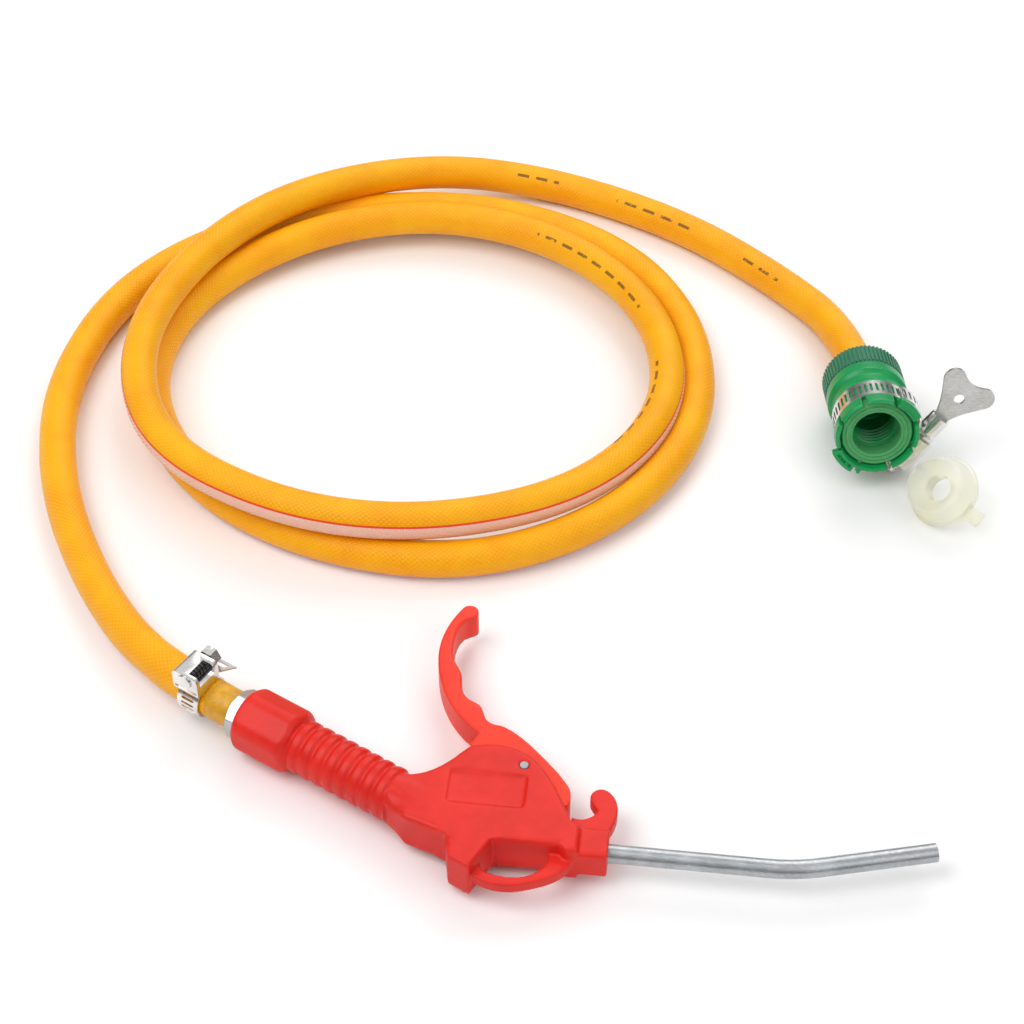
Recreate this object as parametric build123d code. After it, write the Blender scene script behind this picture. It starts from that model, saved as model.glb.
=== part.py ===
from build123d import *

import os
from math import cos, radians, sin, tan

# Trigger filling gun on a coiled hose with a clamp-on tap connector. Units are millimetres.
# The gun lies on its side: +X runs along the nozzle, +Y towards the lever's free end and +Z up.
# Gun pieces are drawn about the nozzle's root, on the gun's middle plane, and are then set down
# by GUN. The tap connector is drawn along its own +X axis, from the back of its nut to its mouth,
# and is set down by TAP.

# ---------------------------------------------------------------- where things stand
ROOT_X, ROOT_Y = 24.5, -39.0  # the nozzle's root in the part's frame
COLLAR_R = 11.0
MID_HEIGHT = COLLAR_R  # the gun rests on its collar
GUN = Location((ROOT_X, ROOT_Y, MID_HEIGHT))

# ---------------------------------------------------------------- gun body
PLATE_T = 15.0
EDGE_R = 1.4
HANDLE_ANGLE = -27.0  # from the hose end towards the nozzle
HANDLE_BACK = (-121.9, 41.8)
COLLAR_L = 21.0
COLLAR_FLATS = 20.8
COLLAR_BEVEL = 1.2
RIB_R, RIB_VALLEY_R, RIB_PITCH, RIB_W, RIB_COUNT = 9.0, 8.2, 4.8, 3.9, 8
RIB_ROUND = 0.8
NECK_L = 9.0
BOSS_L, BOSS_W, BOSS_T, BOSS_EDGE_R = 10.5, 11.2, 11.0, 1.5
VALVE_BLOCK_T = 10.0
GUARD_T = 4.2
HOOK_T = 5.0
LEVER_T, LEVER_GAP = 10.4, 0.3
SLOT_T = LEVER_T + 2 * LEVER_GAP  # gap between the cheeks that hold the lever
SLOT_BACK_X = -50.6
SLOT_FLOOR_Y, SLOT_FRONT_Y = 14.0, 9.5
LABEL_X, LABEL_Y, LABEL_W, LABEL_H, LABEL_DEPTH, LABEL_R = -39.8, 15.4, 24.8, 13.2, 0.8, 1.6

# ---------------------------------------------------------------- lever and its pin
PIVOT = (-29.2, 26.1)
PIN_R = 1.5
PIN_CHAMFER = 0.2
RUN_GAP = 0.05  # radial clearance of a running fit
LEVER_EDGE_R = 1.2

# ---------------------------------------------------------------- valve
VALVE_X = -44.5
SEAT_Y = 3.0
CHAMBER_R, CHAMBER_END_Y = 3.0, -11.6
BUSH_R, BUSH_WALL = 4.0, 1.2
STEM_R, STEM_NECK_R = 1.5, 0.9
STEM_TOP_Y = 20.5
SEAL_R, SEAL_T = 2.6, 1.6
HEAD_R, HEAD_T = 2.2, 1.0
SPRING_WIRE_R, SPRING_R, SPRING_TURNS = 0.3, 2.2, 6
O_RING_R = 0.5
INLET_BORE_R, OUTLET_BORE_R, PASSAGE_R = 3.0, 2.0, 1.7

# ---------------------------------------------------------------- nozzle
NOZZLE_R, NOZZLE_BORE_R = 3.0, 2.1
NOZZLE_IN, NOZZLE_STRAIGHT, NOZZLE_TIP = 12.0, 58.0, 45.0
NOZZLE_BEND, NOZZLE_BEND_R = 15.6, 62.0

# ---------------------------------------------------------------- inlet fitting and hose
HOSE_R, HOSE_BORE_R = 6.75, 4.25
INSERT_R, INSERT_L, INSERT_IN = 8.0, 15.0, 1.6
SHANK_R = 6.0
HEX_AF, HEX_T = 15.6, 4.0
BARB_L, BARB_BORE_R, BARB_COUNT = 27.0, 2.8, 4
BARB_CORE_R, BARB_TIP_R = HOSE_BORE_R - 0.05, HOSE_BORE_R + 0.35
CLAMP_AT = 19.8  # from the collar's back face to the middle of the clamp
BAND_W, BAND_T, BAND_GAP = 8.5, 0.7, 0.05
SCREW_R, SCREW_HEAD_R = 2.6, 3.6
THREAD_PITCH, THREAD_W, THREAD_DEPTH = 1.4, 0.5, 0.5
HOUSING_L, HOUSING_WALL, HOUSING_H, HOUSING_EDGE_R = 11.0, 0.8, 8.0, 1.8
TAIL_T = 0.6
CLAMP_BAND_R = HOSE_R + BAND_GAP
CLAMP_FOOT = CLAMP_BAND_R + BAND_T + 0.05
CLAMP_SCREW_Z = CLAMP_FOOT + SCREW_R + 1.6
FLOOR = HOSE_R + 0.05  # height of the hose's middle where it lies on the table

# ---------------------------------------------------------------- tap connector
TAP_HEADING, TAP_TILT = -82.7, 11.6
TILT = radians(TAP_TILT)
COLLET_WALL, COLLET_GAP = 2.3, 0.1
BARREL_BORE_R = HOSE_R + COLLET_WALL + COLLET_GAP
BARREL_R = BARREL_BORE_R + 2.35
NUT_L, NUT_WALL, NUT_RIBS, NUT_RIB_W, NUT_RIB_H = 13.0, 3.5, 60, 0.75, 0.4
NUT_R = BARREL_R + NUT_WALL  # over the ribs
NUT_BORE_R = HOSE_R + 0.25
NUT_FACE_GAP = 0.3
BODY_R = NUT_R
SHOULDER_L, GROOVE_DEPTH = 6.0, 1.4
TAP_L = 44.0
MOUTH_BORE_R = 8.4
JAW_LIP, JAW_COUNT, JAW_SLOT_W, JAW_SLOT_L = 0.3, 8, 1.6, 12.0
TAP_BAND_AT, TAP_BAND_W, TAP_BAND_T = 32.5, 9.4, 0.8
TAP_BAND_SEAT_R = BODY_R - 1.2
TAP_BAND_R = TAP_BAND_SEAT_R + 0.02
SPIGOT_R, SPIGOT_BORE_R, SPIGOT_L = HOSE_BORE_R - 0.05, 2.8, 14.0
HOSE_IN_NUT = 11.0
SEAL_RING_R, SEAL_RING_T = BODY_R - 1.0, 4.0
MOUTH_L = 9.0
TAP_BACK = (76.1, 230.8, NUT_R * cos(TILT) + 0.06)  # middle of the nut's back, from the root

# ---------------------------------------------------------------- rubber tap insert
ADAPTER_BOSS_R, ADAPTER_FLANGE_R, ADAPTER_BORE_R = 10.5, 13.0, 4.6
ADAPTER_L, ADAPTER_FLANGE_T, ADAPTER_TAB, ADAPTER_TAB_W = 10.0, 2.2, 6.5, 5.6
ADAPTER_AT = (107.4, 177.8)
ADAPTER_LEAN = 47.0
ADAPTER_HEADING = 221.5

# ---------------------------------------------------------------- band screw and its wing
WING_ANGLE = -38.0  # of the screw round the connector's mouth
SCREW_TIP = -11.0
SCREW_HEIGHT = TAP_BAND_R + TAP_BAND_T + 0.1 + SCREW_R + 1.0
BAND_HOUSING_L, BAND_HOUSING_H = 13.0, 7.6
KNOB_R, KNOB_FROM, KNOB_TO = 3.9, 9.2, 16.6
WASHER_R, WASHER_FROM, WASHER_TO = 4.4, 7.1, 8.0
WING_T, WING_HOLE_R, WING_FROM = 1.2, 2.0, 10.4

HANDLE = Location((*HANDLE_BACK, 0), (0, 0, HANDLE_ANGLE))
CLAMP = HANDLE * Location((-CLAMP_AT, 0, 0))
TAP = (
    Location((ROOT_X + TAP_BACK[0], ROOT_Y + TAP_BACK[1], TAP_BACK[2]))
    * Rotation(0, 0, TAP_HEADING) * Rotation(0, -TAP_TILT, 0)
)
WING = Rotation(WING_ANGLE - 90, 0, 0) * Location((TAP_BAND_AT, 0, 0)) * Rotation(0, 0, 180)


def heading(angle):
    return Vector(cos(radians(angle)), sin(radians(angle)), 0)


def cyl(radius, x0, x1):
    """A rod along X."""
    return Location((x0, 0, 0), (0, 90, 0)) * Cylinder(
        radius, x1 - x0, align=(Align.CENTER, Align.CENTER, Align.MIN)
    )


def rod(start, end, radius):
    """A rod between two points."""
    start, end = Vector(start), Vector(end)
    plane = Plane(origin=start, z_dir=end - start)
    return extrude(plane * Circle(radius), (end - start).length)


def tube(outer, inner, x0, x1):
    return cyl(outer, x0, x1) - cyl(inner, x0, x1)


def slab(face, thickness):
    """A flat outline thickened evenly about the middle plane."""
    return extrude(Location((0, 0, -thickness / 2)) * face, thickness)


def turned(points):
    """An outline of (x, radius) points turned about X."""
    return revolve(make_face(Polyline(*points, close=True)), Axis.X)


def torus_y(x, y, ring_r, wire_r):
    return Location((x, y, 0), (90, 0, 0)) * Torus(ring_r, wire_r)


def rod_y(radius, y0, y1):
    """A rod along Y on the valve's axis."""
    return rod((VALVE_X, y0, 0), (VALVE_X, y1, 0), radius)


def worm(y0, y1, z, threads):
    """A screw along Y at height z, with its thread as a row of grooves."""
    screw = rod((0, y0, z), (0, y1, z), SCREW_R)
    for i in range(threads):
        y = y0 + THREAD_PITCH * (i + 1)
        ring = rod((0, y, z), (0, y + THREAD_W, z), SCREW_R + 1)
        screw -= ring - rod((0, y, z), (0, y + THREAD_W, z), SCREW_R - THREAD_DEPTH)
    return screw


# ---------------------------------------------------------------- gun body
def plate_outline():
    """The side plate's edge: back, crown over the lever's pin, brow, nozzle face and belly."""
    back = (-70.5, 19.5)
    step = (-50.2, 29.4)
    crown_a, crown_m, crown_b = (-47.8, 32.2), (-37.8, 34.1), (-27.8, 30.6)
    brow = (-12.4, 6.9)
    front_x = -9.2
    belly_y = -3.6
    neck = (-51.6, -3.0)
    low = (-72.0, 4.0)
    edges = [
        Spline([back, (-63.0, 19.4), (-55.6, 23.6), step]),
        Line(step, crown_a),
        ThreePointArc(crown_a, crown_m, crown_b),
        Spline([crown_b, (-22.4, 25.0), (-16.1, 14.4), brow]),
        Polyline(brow, (front_x, 4.2), (front_x, -5.6), (-13.0, -5.6), (-15.0, belly_y),
                 (-34.6, belly_y), neck, low, back),
    ]
    return make_face(edges)


def valve_block():
    """The slanted block under the plate that holds the valve's lower end."""
    outline = Polyline((-34.6, -1.0), (-41.8, -15.6), (-48.9, -11.9), (-51.4, 0.0), close=True)
    return slab(make_face(outline), VALVE_BLOCK_T)


def guard():
    """The thin loop that keeps a finger off the valve's end."""
    outer = [
        Spline([(-42.5, -13.5), (-37.0, -16.3), (-30.5, -17.2), (-22.0, -15.0), (-13.2, -9.6),
                (-10.6, -4.0)]),
        Line((-10.6, -4.0), (-10.6, 0.0)),
    ]
    inner = [
        Polyline((-10.6, 0.0), (-18.0, 0.0), (-18.3, -4.5)),
        Spline([(-18.3, -4.5), (-19.6, -9.0), (-24.0, -12.6), (-30.5, -13.8), (-38.0, -12.2)]),
        Polyline((-38.0, -12.2), (-40.0, -8.0), (-42.5, -13.5)),
    ]
    return slab(make_face(outer + inner), GUARD_T)


def hook():
    """The hanging hook over the nozzle's root."""
    outer = [
        Line((-12.0, 5.0), (-12.6, 11.2)),
        ThreePointArc((-12.6, 11.2), (-5.6, 12.8), (-4.5, 15.0)),
        ThreePointArc((-4.5, 15.0), (-5.6, 16.0), (-6.6, 17.6)),
        ThreePointArc((-6.6, 17.6), (-5.4, 23.0), (-1.6, 22.5)),
        Spline([(-1.6, 22.5), (0.8, 19.4), (1.7, 15.5), (1.2, 10.8), (-0.4, 6.6)]),
        Polyline((-0.4, 6.6), (-0.4, 3.0), (-12.0, 3.0), (-12.0, 5.0)),
    ]
    return slab(make_face(outer), HOOK_T)


def collar_and_grip():
    """The ribbed grip and the collar round the inlet, turned about the handle's axis."""
    hexagon = Location((0, 0, 0), (0, 90, 0)) * extrude(
        RegularPolygon(COLLAR_FLATS / 2, 6, major_radius=False), COLLAR_L
    )
    collar = turned([(0, 0), (0, COLLAR_R - COLLAR_BEVEL), (COLLAR_BEVEL, COLLAR_R),
                     (COLLAR_L - 2.0, COLLAR_R), (COLLAR_L, COLLAR_R - 1.6), (COLLAR_L, 0)])
    collar &= hexagon
    grip_end = COLLAR_L + RIB_COUNT * RIB_PITCH
    grip = cyl(RIB_VALLEY_R, COLLAR_L - 1, grip_end + NECK_L)
    for i in range(RIB_COUNT):
        x = COLLAR_L + 0.6 + i * RIB_PITCH
        grip += turned([(x, 0), (x, RIB_R - RIB_ROUND), (x + RIB_ROUND, RIB_R),
                        (x + RIB_W - RIB_ROUND, RIB_R), (x + RIB_W, RIB_R - RIB_ROUND),
                        (x + RIB_W, 0)])
    return HANDLE * (collar + grip)


def air_ways():
    """Everything bored out of the body: inlet, valve pocket, outlet and nozzle socket."""
    end = HANDLE * Location((66.0, 0, 0))
    foot = (VALVE_X, -5.0, 0)
    ways = HANDLE * cyl(INLET_BORE_R, -1, 68.0)
    ways += HANDLE * cyl(INSERT_R, INSERT_IN, INSERT_IN + INSERT_L)
    ways += HANDLE * cyl(SHANK_R + 0.6, -1, INSERT_IN + 1)
    ways += rod(end.position, foot, PASSAGE_R)
    ways += rod_y(CHAMBER_R, CHAMBER_END_Y, SEAT_Y + 1)
    ways += rod_y(BUSH_R, SEAT_Y, SLOT_FLOOR_Y + 1)
    ways += rod((VALVE_X, SEAT_Y + 3.4, 0), (-NOZZLE_IN + 0.5, 0.4, 0), OUTLET_BORE_R)
    ways += cyl(NOZZLE_R, -NOZZLE_IN, 1)
    return ways


def lever_slot():
    """The gap between the cheeks; its back wall and floor leave the lever room to turn."""
    outline = Polyline((SLOT_BACK_X, 60), (SLOT_BACK_X, SLOT_FLOOR_Y), (-37.5, SLOT_FLOOR_Y),
                       (-34.0, SLOT_FRONT_Y), (0, SLOT_FRONT_Y), (0, 60), close=True)
    return slab(make_face(outline), SLOT_T)


def gun_body():
    plate = slab(plate_outline(), PLATE_T)
    plate = fillet(plate.edges().filter_by(Plane.XY), EDGE_R)
    nozzle_boss = Location((-BOSS_L / 2, 0, 0)) * Box(BOSS_L, BOSS_W, BOSS_T)
    nozzle_boss = fillet(nozzle_boss.edges().filter_by(Axis.X), BOSS_EDGE_R)
    body = plate + collar_and_grip() + nozzle_boss + valve_block() + guard()
    body -= lever_slot()
    body += hook()
    body -= air_ways()
    body -= rod((*PIVOT, -PLATE_T), (*PIVOT, PLATE_T), PIN_R)
    recess = extrude(RectangleRounded(LABEL_W, LABEL_H, LABEL_R), LABEL_DEPTH + 1)
    body -= Location((LABEL_X, LABEL_Y, PLATE_T / 2 - LABEL_DEPTH)) * recess
    return body


# ---------------------------------------------------------------- lever
def trigger_lever():
    """Curved finger lever with two finger swells and a hooked tip."""
    root = Polyline((-45.4, 39.6), (-47.4, 35.5), (-47.8, STEM_TOP_Y + 0.3),
                    (-40.8, STEM_TOP_Y + 0.3), (-35.5, 19.0))
    edges = [
        root,
        ThreePointArc((-35.5, 19.0), (-29.2, 16.6), (-22.5, 15.4)),
        Spline([(-22.5, 15.4), (-18.0, 13.0), (-14.4, 13.2), (-13.4, 17.0), (-14.3, 20.7)]),
        Spline([(-14.3, 20.7), (-18.6, 26.4), (-25.0, 33.2), (-32.9, 40.4), (-40.0, 44.1)]),
        Spline([(-40.0, 44.1), (-44.3, 47.1), (-46.4, 51.6), (-50.6, 54.2), (-53.4, 58.8),
                (-54.2, 64.2), (-57.2, 70.0), (-58.6, 79.0), (-57.8, 84.8), (-55.4, 89.0)]),
        Line((-55.4, 89.0), (-52.6, 90.8)),
        ThreePointArc((-52.6, 90.8), (-54.4, 95.3), (-57.6, 94.0)),
        Spline([(-57.6, 94.0), (-61.8, 84.3), (-63.2, 74.3), (-61.6, 63.5), (-56.4, 51.2),
                (-45.4, 39.6)]),
    ]
    lever = slab(make_face(edges), LEVER_T)
    finger_edges = lever.edges().filter_by(Plane.XY).sort_by(SortBy.LENGTH)[-4:-2]
    lever = fillet(finger_edges, LEVER_EDGE_R)
    return lever - rod((*PIVOT, -LEVER_T), (*PIVOT, LEVER_T), PIN_R + RUN_GAP)


def lever_pin():
    length = PLATE_T + 0.2
    pin = rod((*PIVOT, -length / 2), (*PIVOT, length / 2), PIN_R)
    return chamfer(pin.edges().filter_by(GeomType.CIRCLE), PIN_CHAMFER)


# ---------------------------------------------------------------- valve
def valve_bush():
    """Brass cartridge: seat at the bottom, stem guide at the top, cross hole between."""
    bush = rod_y(BUSH_R, SEAT_Y, SLOT_FLOOR_Y)
    bush -= rod_y(STEM_R + RUN_GAP, SEAT_Y - 1, SLOT_FLOOR_Y + 1)
    bush -= rod_y(BUSH_R - BUSH_WALL, SEAT_Y + 1.2, SEAT_Y + 5.6)
    bush -= rod((VALVE_X, SEAT_Y + 3.4, 0), (VALVE_X + BUSH_R + 1, SEAT_Y + 3.0, 0), OUTLET_BORE_R)
    groove = rod_y(BUSH_R + 1, SLOT_FLOOR_Y - 4.0, SLOT_FLOOR_Y - 2.8)
    bush -= groove - rod_y(BUSH_R - 0.9, SEAT_Y, SLOT_FLOOR_Y)
    bush -= rod_y(STEM_R + 1.05, SLOT_FLOOR_Y - 1.9, SLOT_FLOOR_Y - 0.7)
    return bush


def bush_o_ring():
    return torus_y(VALVE_X, SLOT_FLOOR_Y - 3.4, BUSH_R - 0.56, O_RING_R * 0.64)


def stem_o_ring():
    return torus_y(VALVE_X, SLOT_FLOOR_Y - 1.3, STEM_R + RUN_GAP + O_RING_R, O_RING_R - 0.02)


def valve_stem():
    """Stem with a domed top under the lever and a small head that carries the seal."""
    dome_y = STEM_TOP_Y - STEM_R
    stem = rod_y(STEM_R, SEAT_Y + 5.0, dome_y)
    stem += Location((VALVE_X, dome_y, 0)) * Sphere(STEM_R)
    stem += rod_y(STEM_NECK_R, SEAT_Y - SEAL_T - 0.5, SEAT_Y + 5.5)
    stem += rod_y(HEAD_R, SEAT_Y - SEAL_T - HEAD_T - 0.05, SEAT_Y - SEAL_T - 0.05)
    return stem


def valve_seal():
    seal = rod_y(SEAL_R, SEAT_Y - SEAL_T - 0.05, SEAT_Y - 0.05)
    return seal - rod_y(STEM_NECK_R, SEAT_Y - SEAL_T - 1, SEAT_Y + 1)


def valve_spring():
    """Compression spring between the pocket's end and the stem's head."""
    top = SEAT_Y - SEAL_T - HEAD_T - 0.05 - SPRING_WIRE_R
    foot = CHAMBER_END_Y + SPRING_WIRE_R
    path = Helix(pitch=(top - foot) / SPRING_TURNS, height=top - foot, radius=SPRING_R)
    wire = sweep(Plane(path @ 0, z_dir=path % 0) * Circle(SPRING_WIRE_R), path)
    return Location((VALVE_X, foot, 0), (-90, 0, 0)) * wire


# ---------------------------------------------------------------- nozzle
def nozzle_path():
    start = Vector(-NOZZLE_IN, 0, 0)
    corner = Vector(NOZZLE_STRAIGHT, 0, 0)
    end = corner + heading(NOZZLE_BEND) * NOZZLE_TIP
    return FilletPolyline(start, corner, end, radius=NOZZLE_BEND_R)


def nozzle_tube():
    path = nozzle_path()
    ring = Circle(NOZZLE_R) - Circle(NOZZLE_BORE_R)
    return sweep(Plane(path @ 0, z_dir=path % 0) * ring, path)


# ---------------------------------------------------------------- inlet fitting
def inlet_insert():
    """Brass thread insert moulded into the collar, with grooves that key it."""
    x0, x1 = INSERT_IN, INSERT_IN + INSERT_L
    insert = tube(INSERT_R, SHANK_R, x0, x1)
    for share in (0.3, 0.6):
        x = x0 + share * INSERT_L
        insert -= tube(INSERT_R + 1, INSERT_R - 0.8, x, x + 1.2)
    return HANDLE * insert


def barb_profile():
    """The fitting's outline from the threaded shank back over the hex to the barbs."""
    points = [(INSERT_IN + INSERT_L - 1.0, 0), (INSERT_IN + INSERT_L - 1.0, SHANK_R - 0.6),
              (INSERT_IN + INSERT_L - 1.6, SHANK_R - RUN_GAP), (0, SHANK_R - RUN_GAP),
              (0, BARB_CORE_R), (-HEX_T, BARB_CORE_R)]
    pitch = (BARB_L - 3.0) / BARB_COUNT
    for i in range(BARB_COUNT):
        x = -HEX_T - 3.0 - i * pitch
        points += [(x, BARB_CORE_R), (x, BARB_TIP_R), (x - pitch * 0.8, BARB_CORE_R - 0.25)]
    points += [(-HEX_T - BARB_L, BARB_CORE_R - 0.25), (-HEX_T - BARB_L, 0)]
    return points


def hose_barb():
    barb = turned(barb_profile())
    nut = Location((-HEX_T, 0, 0), (0, 90, 0)) * extrude(
        RegularPolygon(HEX_AF / 2, 6, major_radius=False), HEX_T
    )
    nut &= turned([(-HEX_T, 0), (-HEX_T, HEX_AF / 2), (-HEX_T + 0.9, HEX_AF * 0.57),
                   (0, HEX_AF * 0.57), (0, 0)])
    barb += nut
    return HANDLE * (barb - cyl(BARB_BORE_R, -HEX_T - BARB_L - 1, INSERT_IN + INSERT_L))


def inlet_o_ring():
    """Seal under the hex, in the mouth of the collar."""
    ring_r = SHANK_R + 0.3
    ring = Location((INSERT_IN / 2, 0, 0), (0, 90, 0)) * Torus(ring_r, 0.26)
    return HANDLE * ring


# ---------------------------------------------------------------- hose clamp
def clamp_band():
    """Slotted band round the hose, with its free tail running out under the screw's head."""
    band = tube(CLAMP_BAND_R + BAND_T, CLAMP_BAND_R, -BAND_W / 2, BAND_W / 2)
    for i in range(12):
        slot = Box(BAND_W * 0.56, 0.9, 4)
        band -= Rotation(90 + i * 15, 0, 0) * Location((0, 0, CLAMP_BAND_R)) * slot
    top = CLAMP_BAND_R + BAND_T - 0.1
    under = Spline([(0, top), (7.0, top + 0.1), (10.5, top + 1.0), (13.4, top + 3.6)])
    over = Spline([(13.0, top + 4.1), (10.2, top + 1.6), (7.0, top + 0.1 + TAIL_T), (0, top + TAIL_T)])
    strip = make_face([under, Line(under @ 1, over @ 0), over, Line(over @ 1, under @ 0)])
    tail = extrude(Plane.YZ * strip, BAND_W / 2 - 0.4, both=True)
    for y, lift, tip in ((7.6, 0.4, 4), (9.8, 1.1, 30), (11.8, 2.7, 45)):
        tail -= Location((0, y, top + lift), (tip, 0, 0)) * Box(BAND_W * 0.55, 0.9, 3)
    return CLAMP * (band + tail)


def clamp_housing():
    """Pressed saddle over the band that holds the worm screw."""
    width = BAND_W + 0.3 + 2 * HOUSING_WALL
    box = Location((0, -1.5, CLAMP_FOOT - 1.0 + HOUSING_H / 2)) * Box(width, HOUSING_L, HOUSING_H)
    box = fillet(box.edges().filter_by(Axis.Y).group_by(Axis.Z)[-1], HOUSING_EDGE_R)
    bore = rod((0, -HOUSING_L, CLAMP_SCREW_Z), (0, HOUSING_L, CLAMP_SCREW_Z), SCREW_R + RUN_GAP)
    tunnel = Location((0, 0, CLAMP_FOOT + 0.3)) * Box(BAND_W + 0.3, 3 * HOUSING_L, 1.2)
    band_room = cyl(CLAMP_BAND_R + BAND_T + 0.05, -BAND_W / 2 - 0.15, BAND_W / 2 + 0.15)
    hose_room = cyl(HOSE_R + 0.1, -HOUSING_L, HOUSING_L)
    return CLAMP * (box - bore - tunnel - band_room - hose_room)


def clamp_screw():
    """Worm screw across the hose, with a slotted hexagon head."""
    z = CLAMP_SCREW_Z
    head = Location((0, 4.4, z), (-90, 0, 0)) * extrude(RegularPolygon(SCREW_HEAD_R, 6), 3.4)
    head -= Location((0, 7.8, z)) * Box(1.0, 2.4, 9)
    return CLAMP * (worm(-7.6, 5.0, z, 7) + head)


# ---------------------------------------------------------------- hose
def along_handle(back, height=MID_HEIGHT):
    """A point on the handle's axis, so far behind the collar's back face."""
    point = Vector(*HANDLE_BACK, 0) - heading(HANDLE_ANGLE) * back
    return (point.X, point.Y, height)


def along_tap(inside):
    """A point on the connector's axis, so far inside the nut's back face."""
    step = heading(TAP_HEADING) * (inside * cos(TILT))
    return (TAP_BACK[0] + step.X, TAP_BACK[1] + step.Y, TAP_BACK[2] + inside * sin(TILT))


ROUTE = [
    along_handle(HEX_T), along_handle(39.0), (-188, 97, FLOOR), (-215, 147, FLOOR),
    (-227, 201, FLOOR), (-217, 259, FLOOR), (-181, 302, FLOOR), (-128, 325, FLOOR),
    (-74, 330, FLOOR), (-19, 307, FLOOR), (12, 261, FLOOR), (17, 204, FLOOR), (-9, 153, FLOOR),
    (-58, 123, FLOOR), (-115, 126, FLOOR), (-165, 152, FLOOR), (-196, 202, FLOOR),
    (-191, 258, FLOOR), (-152, 300, 10.5), (-98, 318, 12.6), (-43, 304, 12.6),
    (-3, 263, 12.6), (7, 206, 14), (-20, 157, 15), (-73, 130, 18), (-127, 128, 21.4),
    (-180, 157, 20.6), (-200, 211, 20.6), (-189, 267, 20.6), (-157, 311, 21.4),
    (-107, 343, 15.5), (-57, 352, FLOOR), (1, 329, FLOOR), (42, 297, FLOOR),
    along_tap(-34.0), along_tap(HOSE_IN_NUT),
]


def hose_path():
    """Straight runs joined by arcs, each as large as its two runs allow."""
    points = [Vector(x + ROOT_X, y + ROOT_Y, z) for x, y, z in ROUTE]
    radii = []
    for before, here, after in zip(points, points[1:], points[2:]):
        run_in, run_out = here - before, after - here
        half_turn = radians(run_in.get_angle(run_out)) / 2
        radii.append(0.45 * min(run_in.length, run_out.length) / tan(half_turn))
    print("hose radii", [round(r) for r in radii])
    return FilletPolyline(*points, radius=radii)


def hose():
    path = hose_path()
    ring = Circle(HOSE_R) - Circle(HOSE_BORE_R)
    solid = sweep(Plane(path @ 0, z_dir=path % 0) * ring, path)
    print("hose length", round(path.length, 1), "volume by section", round(ring.area * path.length),
          "by solid", round(solid.volume))
    return solid


# ---------------------------------------------------------------- tap connector
def connector_body():
    """Moulded body: threaded barrel under the nut, shoulder, groove, band seat and jaws."""
    seat_a = TAP_BAND_AT - TAP_BAND_W / 2 - 0.3
    seat_b = TAP_BAND_AT + TAP_BAND_W / 2 + 0.3
    seat_r = TAP_BAND_SEAT_R
    groove_r = BODY_R - GROOVE_DEPTH
    jaw_r = BODY_R + JAW_LIP
    shoulder = NUT_L + NUT_FACE_GAP
    body = turned([(4.0, 0), (4.0, BARREL_R), (shoulder, BARREL_R), (shoulder, BODY_R - 0.6),
                   (shoulder + 0.6, BODY_R), (NUT_L + SHOULDER_L, BODY_R),
                   (NUT_L + SHOULDER_L + 1.8, groove_r), (seat_a - 2.6, groove_r),
                   (seat_a - 1.2, seat_r + 0.5), (seat_a, seat_r + 0.5), (seat_a, seat_r),
                   (seat_b, seat_r), (seat_b, BODY_R - 0.3), (seat_b + 1.0, jaw_r),
                   (TAP_L - 0.8, jaw_r), (TAP_L, BODY_R - 0.6), (TAP_L, 0)])
    body -= cyl(BARREL_BORE_R, 3, NUT_L - 1.5)
    ring_at = TAP_L - MOUTH_L
    body -= turned([(NUT_L + 4.0, 0), (NUT_L + 4.0, MOUTH_BORE_R), (ring_at, MOUTH_BORE_R),
                    (ring_at, SEAL_RING_R - 1.0), (TAP_L - 1.6, SEAL_RING_R - 0.6),
                    (TAP_L + 1, SEAL_RING_R), (TAP_L + 1, 0)])
    spigot = cyl(SPIGOT_R, HOSE_IN_NUT - SPIGOT_L, NUT_L)
    for i in range(3):
        x = HOSE_IN_NUT - SPIGOT_L + 1.0 + i * 3.6
        spigot += turned([(x, 0), (x, SPIGOT_R - 0.1), (x + 2.4, SPIGOT_R + 0.35),
                          (x + 2.4, 0)])
    body += spigot
    body -= cyl(SPIGOT_BORE_R, -20, TAP_L)
    for i in range(JAW_COUNT):
        slot = Location((TAP_L + 1 - JAW_SLOT_L / 2, 0, BODY_R)) * Box(JAW_SLOT_L, JAW_SLOT_W, 7.0)
        body -= Rotation(i * 360 / JAW_COUNT + 22.5, 0, 0) * slot
    return body


def grip_collet():
    """Split ring that the nut squeezes on to the hose."""
    outer = HOSE_R + COLLET_WALL
    ring = turned([(1.6, HOSE_R + 0.02), (1.6, outer - 1.1), (4.0, outer), (NUT_L - 3.0, outer),
                   (NUT_L - 3.0, HOSE_R + 0.02)])
    return ring - Location((NUT_L / 2, 0, HOSE_R + 2)) * Box(NUT_L * 2, 1.6, 6)


def hose_nut():
    """Fine-ribbed nut that closes the collet."""
    skin = NUT_R - NUT_RIB_H
    nut = turned([(0, NUT_BORE_R), (0, skin - 1.8), (2.0, skin), (NUT_L, skin),
                  (NUT_L, BARREL_R + RUN_GAP), (3.2, BARREL_R + RUN_GAP), (3.2, BARREL_BORE_R),
                  (1.4, BARREL_BORE_R - 1.1), (1.4, NUT_BORE_R)])
    rib = Location((2.0, 0, NUT_R)) * Box(
        NUT_L - 2.4, NUT_RIB_W, 2 * NUT_RIB_H, align=(Align.MIN, Align.CENTER, Align.MAX)
    )
    ribs = [Rotation(i * 360 / NUT_RIBS, 0, 0) * rib for i in range(NUT_RIBS)]
    return nut + ribs


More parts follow.
